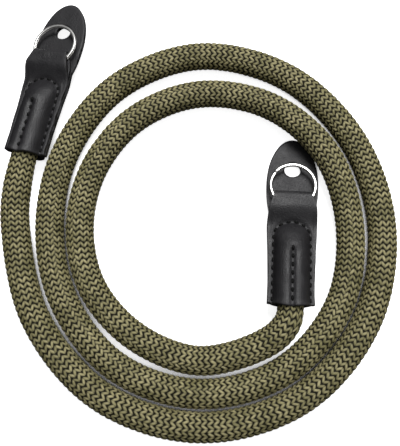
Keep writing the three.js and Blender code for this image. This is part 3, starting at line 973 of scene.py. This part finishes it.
def tongue_skin(leather, seed):
    """Lower face of the back layer: under the rope as a grid, then rings round the tongue's hole."""
    shares = np.sin(np.linspace(-math.pi / 2, math.pi / 2, 33))
    rows = []
    for along in np.linspace(0, TONGUE_GRID_END, 50):
        x = -shares * back_half_width(along)
        y = np.full_like(x, along)
        rows.append(np.c_[x, y, -back_depth(x, y, leather, seed)])
    count, columns = len(rows), len(shares)
    points = list(np.concatenate(rows))
    faces = grid_faces(count, columns)
    near_side = smooth_step(np.abs(shares), BACK_WORN_FROM, 1.0)
    wear_and_highlight = list(np.ravel(near_side[None, :] * np.ones((count, 1))))

    side = np.linspace(TONGUE_GRID_END, TONGUE_WIDEST_AT, 6)[1:]
    turn = np.linspace(0, math.pi, 49)
    tip = np.c_[
        TONGUE_HALF_WIDTH * np.cos(turn),
        TONGUE_WIDEST_AT + (TONGUE_TIP_AT - TONGUE_WIDEST_AT) * np.sin(turn),
    ]
    right = np.c_[back_half_width(side), side]
    border = np.concatenate([right, tip[1:-1], (right * (-1, 1))[::-1]])
    last_row = np.array(points[(count - 1) * columns:])
    loop = np.concatenate([border, last_row[::-1, :2]])
    centre = np.array((0.0, HOLE["along"]))
    turned = np.arctan2(*(loop - centre).T[::-1])
    outwards = np.c_[np.cos(turned), np.sin(turned)]
    across, up = outwards[:, 0] / HOLE["half_width"], outwards[:, 1] / HOLE["half_length"]
    reach = 1 / np.sqrt(across**2 + up**2)
    hole = centre + outwards * reach[:, None]
    border_ids = list(range(len(points), len(points) + len(border)))
    # The border points are fully rubbed, which on the tongue's cut edge is partly painted highlight.
    for x, y in border:
        points.append((x, y, -back_depth(np.array([x]), np.array([y]), leather, seed)[0]))
        wear_and_highlight.append(1.0)
    outer = border_ids + [(count - 1) * columns + j for j in range(columns - 1, -1, -1)]
    for share, worn_and_highlight in HOLE_RINGS:
        ring = loop * (1 - share) + hole * share
        inner = list(range(len(points), len(points) + len(ring)))
        depth = back_depth(ring[:, 0], ring[:, 1], leather, seed)
        points.extend(np.c_[ring, -depth])
        wear_and_highlight.extend([worn_and_highlight] * len(ring))
        n = len(ring)
        faces += [(outer[(k + 1) % n], outer[k], inner[k], inner[(k + 1) % n]) for k in range(n)]
        outer = inner
    return np.array(points), faces, np.array(wear_and_highlight)


def leather_sheet(name, skin, thickness, edge_round, matrix, materials):
    """Thickens a skin inwards, rounds its cut edges and returns it as a plain mesh in the part's frame."""
    points, faces, wear_and_highlight = skin
    sheet = new_mesh(name, moved(matrix, points), faces)
    # The rubbed mask, which on the cut edges is partly painted highlight.
    worn_and_highlight = sheet.data.attributes.new("edge_wear", "FLOAT", "POINT")
    worn_and_highlight.data.foreach_set("value", wear_and_highlight)
    for material in materials:
        sheet.data.materials.append(material)
    thick = sheet.modifiers.new("Thickness", "SOLIDIFY")
    thick.thickness = thickness
    thick.offset = -1
    thick.use_even_offset = True
    thick.material_offset_rim = 1
    thick.bevel_convex = 1.0
    rounding = sheet.modifiers.new("Cut edges", "BEVEL")
    rounding.limit_method = "WEIGHT"
    rounding.width = edge_round
    rounding.segments = 3
    return made_plain(sheet)


# Stitches


# The stitches differ by random sizes between these
STITCH_SIZES = ((0.88, 0.92, 0.92), (1.06, 1.08, 1.08))


def stitch_group():
    """Stitches of one thread set along the paths of a curve, each a grain that dips at its ends."""
    inputs = (
        ("Seams", "Geometry", None), ("Pitch", "Float", 0.003), ("Stitch length", "Float", 0.002),
        ("Thread", "Float", 0.0007), ("Up", "Vector", None), ("Seed", "Int", 0),
        ("Finish", "Material", None),
    )
    outputs = (("Stitches", "Geometry"),)
    group, build, given, result = new_group("Stitches on a seam", "GeometryNodeTree", inputs, outputs)
    ball = build.node("GeometryNodeMeshUVSphere", Segments=8, Rings=6, Radius=0.5)
    kept = build.node(
        "GeometryNodeStoreNamedAttribute", {"data_type": "FLOAT2", "domain": "CORNER"},
        Geometry=ball.outputs["Mesh"], Name="thread_uv", Value=ball.outputs["UV Map"],
    )
    x, y, z = build.parts(build.node("GeometryNodeInputPosition").outputs[0])
    drop = build.times(build.times(z, z), build.times(given["Thread"], -1.5))
    grain = build.node(
        "GeometryNodeSetPosition", Geometry=kept.outputs[0],
        Position=build.joined(
            build.times(z, given["Stitch length"]),
            build.times(y, given["Thread"]),
            build.times_plus(x, given["Thread"], drop),
        ),
    )
    spaced = build.node(
        "GeometryNodeResampleCurve", {"mode": "LENGTH"}, Curve=given["Seams"], Length=given["Pitch"]
    )
    tangent = build.node("GeometryNodeInputTangent").outputs[0]
    along = build.node("FunctionNodeAlignRotationToVector", {"axis": "X"}, Vector=tangent)
    upright = build.node(
        "FunctionNodeAlignRotationToVector", {"axis": "Z", "pivot_axis": "X"},
        Rotation=along.outputs[0], Vector=given["Up"],
    )
    size = build.random(*STITCH_SIZES, Seed=given["Seed"])
    laid = build.node(
        "GeometryNodeInstanceOnPoints", Points=spaced.outputs[0], Instance=grain.outputs[0],
        Rotation=upright.outputs[0], Scale=size,
    )
    smooth = build.node("GeometryNodeSetShadeSmooth", Geometry=laid.outputs[0])
    whole = build.node("GeometryNodeRealizeInstances", Geometry=smooth.outputs[0])
    finished = build.node("GeometryNodeSetMaterial", Geometry=whole.outputs[0], Material=given["Finish"])
    build.put(result.inputs[0], finished.outputs[0])
    return group


def seam_paths(leather, seed, thread):
    """The seams of one end in its own frame: two lines on the front, two on the back."""
    lift = 0.12 * thread / MM
    found = {"front": [], "back": []}
    for line in (seam_line(), middle_line()):
        x, y = line.T
        found["front"].append(np.c_[x, y, front_height(x, y, leather, seed) + lift])
        found["back"].append(np.c_[x, y, -back_depth(x, y, leather, seed) - lift])
    return found


# Split rings


def ring_mesh(name, ring, matrix, material):
    """Nearly two flat turns of wire with one step from the lower to the upper, narrowed at its cut ends."""
    half_width_mm, half_height = ring.wire_width / MM / 2, ring.wire_height / MM / 2
    section = []
    for cx, cz, start in ((1, 1, 0), (-1, 1, 90), (-1, -1, 180), (1, -1, 270)):
        for k in range(CORNER_POINTS):
            a = math.radians(start + 90 * k / (CORNER_POINTS - 1))
            section.append((
                cx * (half_width_mm - WIRE_CORNER) + WIRE_CORNER * math.cos(a),
                cz * (half_height - WIRE_CORNER) + WIRE_CORNER * math.sin(a),
            ))
    radius = ring.outer_radius / MM - half_width_mm
    points = []
    middle = ring.sweep / 2
    for i in range(RING_STEPS + 1):
        turned = ring.sweep * i / RING_STEPS
        rise = float(smooth_step(turned, middle - ring.step_over / 2, middle + ring.step_over / 2)) - 0.5
        shrink = 1 - CUT_END_SHRINK * max(0.0, 1 - min(i, RING_STEPS - i) / 2)
        for across, up in section:
            out = radius + across * shrink
            height = rise * ring.coil_pitch / MM + up * shrink
            points.append((out * math.cos(turned), out * math.sin(turned), height))
    n = len(section)
    sides = [(i * n + k, i * n + (k + 1) % n) for i in range(RING_STEPS) for k in range(n)]
    faces = [(a, a + n, b + n, b) for a, b in sides]
    last = RING_STEPS * n
    faces += [tuple(range(n)), tuple(range(last + n - 1, last - 1, -1))]
    made = new_mesh(name, moved(matrix, points), faces)
    made.data.materials.append(material)
    return made


# Stage


def add_lamp(name, power, side, place):
    """A square lamp that shines on the strap."""
    lamp = bpy.data.lights.new(name, "AREA")
    lamp.energy = power
    lamp.size = side
    made = new_object(name, lamp)
    made.location = place
    made.rotation_euler = (-Vector(place)).to_track_quat("-Z", "Y").to_euler()


# Operators


class STRAP_OT_camera(bpy.types.Operator):
    """Places the camera at the photograph's viewing angle"""

    bl_idname = "strap.camera"
    bl_label = "Camera"

    def execute(self, context):
        stage = context.scene.strap_stage
        camera = new_object("camera", bpy.data.cameras.new("camera"))
        camera.data.lens = stage.lens
        camera.data.sensor_width = 36
        camera.data.clip_start = 0.01
        tilt = stage.camera_elevation
        forward = Vector((0, math.cos(tilt), -math.sin(tilt)))
        camera.location = STRAP_PLACE * MM - forward * stage.camera_distance
        camera.rotation_euler = Euler((math.pi / 2 - tilt, 0, 0))
        context.scene.camera = camera
        return {"FINISHED"}


class STRAP_OT_rope(bpy.types.Operator):
    """Lays the rope on its route: a dark core and both hands of the braid"""

    bl_idname = "strap.rope"
    bl_label = "Braided rope"

    def execute(self, context):
        rope = context.scene.strap_rope
        line = smooth_line(route_points(), ROUTE_STEPS)
        core = rope_core(rope, line)
        material = yarn_material(rope)
        group = braid_group()
        layers = [
            braid_layer("braid_right_lay", rope, line, group, material, 1.0, 0.0, rope.seed),
            braid_layer("braid_left_lay", rope, line, group, material, -1.0, 1.0, rope.seed + 10),
        ]
        for piece in (core, *layers):
            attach(piece, "strap")
        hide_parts("rope")
        return {"FINISHED"}


class STRAP_OT_leather_ends(bpy.types.Operator):
    """Builds the stitched sleeve with its fold, and the tongue behind it, at both ends"""

    bl_idname = "strap.leather_ends"
    bl_label = "Leather ends"

    def execute(self, context):
        leather = context.scene.strap_leather
        front = leather_material(leather, "black_leather_front", 0.9, 0.4, 0.00008)
        back = leather_material(leather, "black_leather_back", 0.7, 0.46, 0.00007)
        # The cut edges take the rubbed colour in full: partly from rubbing, partly a painted highlight
        # along the edges.
        cut = leather_material(leather, "cut_leather_edge", 1.0, 0.5, 0.00004)
        for index, (name, end) in enumerate(ENDS.items()):
            seed = end_seed(index)
            matrix = end_matrix(end)
            sleeve = leather_sheet(
                f"leather_sleeve_{name}", front_skin(leather, seed), leather.front_thickness,
                leather.edge_round, matrix, (front, cut),
            )
            tongue = leather_sheet(
                f"leather_tongue_{name}", tongue_skin(leather, seed), leather.back_thickness,
                leather.edge_round, matrix, (back, cut),
            )
            for piece, node in ((sleeve, "sleeve_"), (tongue, "tongue_")):
                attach(piece, "strap")
                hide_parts(node + name)
        return {"FINISHED"}


class STRAP_OT_seams(bpy.types.Operator):
    """Sews the side seams, the arch and the middle seam of both ends"""

    bl_idname = "strap.seams"
    bl_label = "Seams"

    def execute(self, context):
        leather, seam = context.scene.strap_leather, context.scene.strap_seam
        material = thread_material(seam)
        group = stitch_group()
        for index, (name, end) in enumerate(ENDS.items()):
            matrix = end_matrix(end)
            paths = seam_paths(leather, end_seed(index), seam.thread)
            for face, sign in (("front", 1), ("back", -1)):
                up = (matrix.to_3x3() @ Vector((0, 0, sign))).normalized()
                seams = new_curve(f"stitches_{face}_{name}", [moved(matrix, line) for line in paths[face]])
                run_tree(
                    seams, group, pitch=seam.pitch, stitch_length=seam.stitch_length, thread=seam.thread,
                    up=tuple(up), seed=index, finish=material,
                )
                seams = made_plain(seams, [material])
                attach(seams, "strap")
        return {"FINISHED"}


class STRAP_OT_split_rings(bpy.types.Operator):
    """Coils the two split rings in the folds"""

    bl_idname = "strap.split_rings"
    bl_label = "Split rings"

    def execute(self, context):
        ring = context.scene.strap_ring
        material = nickel_material(ring)
        for name, end in ENDS.items():
            seat = Matrix.Translation((0, RING_CENTRE_AT, POCKET_MIDDLE))
            turn = Matrix.Rotation(math.radians(end["ring_turn"]), 4, "Z")
            made = ring_mesh(f"nickel_ring_{name}", ring, end_matrix(end) @ seat @ turn, material)
            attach(made, f"split_ring_{name}")
            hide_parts(f"ring_{name}")
        return {"FINISHED"}


class STRAP_OT_stage(bpy.types.Operator):
    """Makes the white floor, the even sky and the two lamps"""

    bl_idname = "strap.stage"
    bl_label = "Floor and light"

    def execute(self, context):
        stage = context.scene.strap_stage
        half = stage.floor_size / 2
        corners = ((-half, -half), (half, -half), (half, half), (-half, half))
        floor = new_mesh("floor", [(x, y, -FLOOR_GAP) for x, y in corners], [(0, 1, 2, 3)])
        floor.data.materials.append(floor_material(stage))
        world = bpy.data.worlds.new("even_sky")
        world.use_nodes = True
        sky = next(n for n in world.node_tree.nodes if n.type == "BACKGROUND")
        sky.inputs["Color"].default_value = (1, 1, 1, 1)
        sky.inputs["Strength"].default_value = stage.sky
        context.scene.world = world
        for name, (power, side, place) in LAMPS.items():
            add_lamp(name, getattr(stage, power), side, place)
        context.scene.view_settings.view_transform = "Standard"
        return {"FINISHED"}


STEPS = (
    STRAP_OT_camera,
    STRAP_OT_rope,
    STRAP_OT_leather_ends,
    STRAP_OT_seams,
    STRAP_OT_split_rings,
    STRAP_OT_stage,
)
SETTINGS = {
    "strap_rope": StrapRopeSettings,
    "strap_leather": StrapLeatherSettings,
    "strap_seam": StrapSeamSettings,
    "strap_ring": StrapRingSettings,
    "strap_stage": StrapStageSettings,
}


class STRAP_PT_panel(bpy.types.Panel):
    """Lists the strap's pieces and their sizes"""

    bl_label = "Braided Camera Strap"
    bl_idname = "STRAP_PT_panel"
    bl_space_type = "VIEW_3D"
    bl_region_type = "UI"
    bl_category = "Strap"

    def draw(self, context):
        for step in STEPS:
            self.layout.operator(step.bl_idname)
        for name, kind in SETTINGS.items():
            box = self.layout.box()
            box.label(text=kind.__doc__)
            for label in kind.__annotations__:
                box.prop(getattr(context.scene, name), label)


def register():
    for kind in (*SETTINGS.values(), *STEPS, STRAP_PT_panel):
        bpy.utils.register_class(kind)
    for name, kind in SETTINGS.items():
        setattr(bpy.types.Scene, name, bpy.props.PointerProperty(type=kind))


def unregister():
    for name in SETTINGS:
        delattr(bpy.types.Scene, name)
    for kind in reversed((*SETTINGS.values(), *STEPS, STRAP_PT_panel)):
        bpy.utils.unregister_class(kind)


def main():
    register()
    for step in STEPS:
        group, name = step.bl_idname.split(".")
        getattr(getattr(bpy.ops, group), name)()


if __name__ == "__main__":
    main()
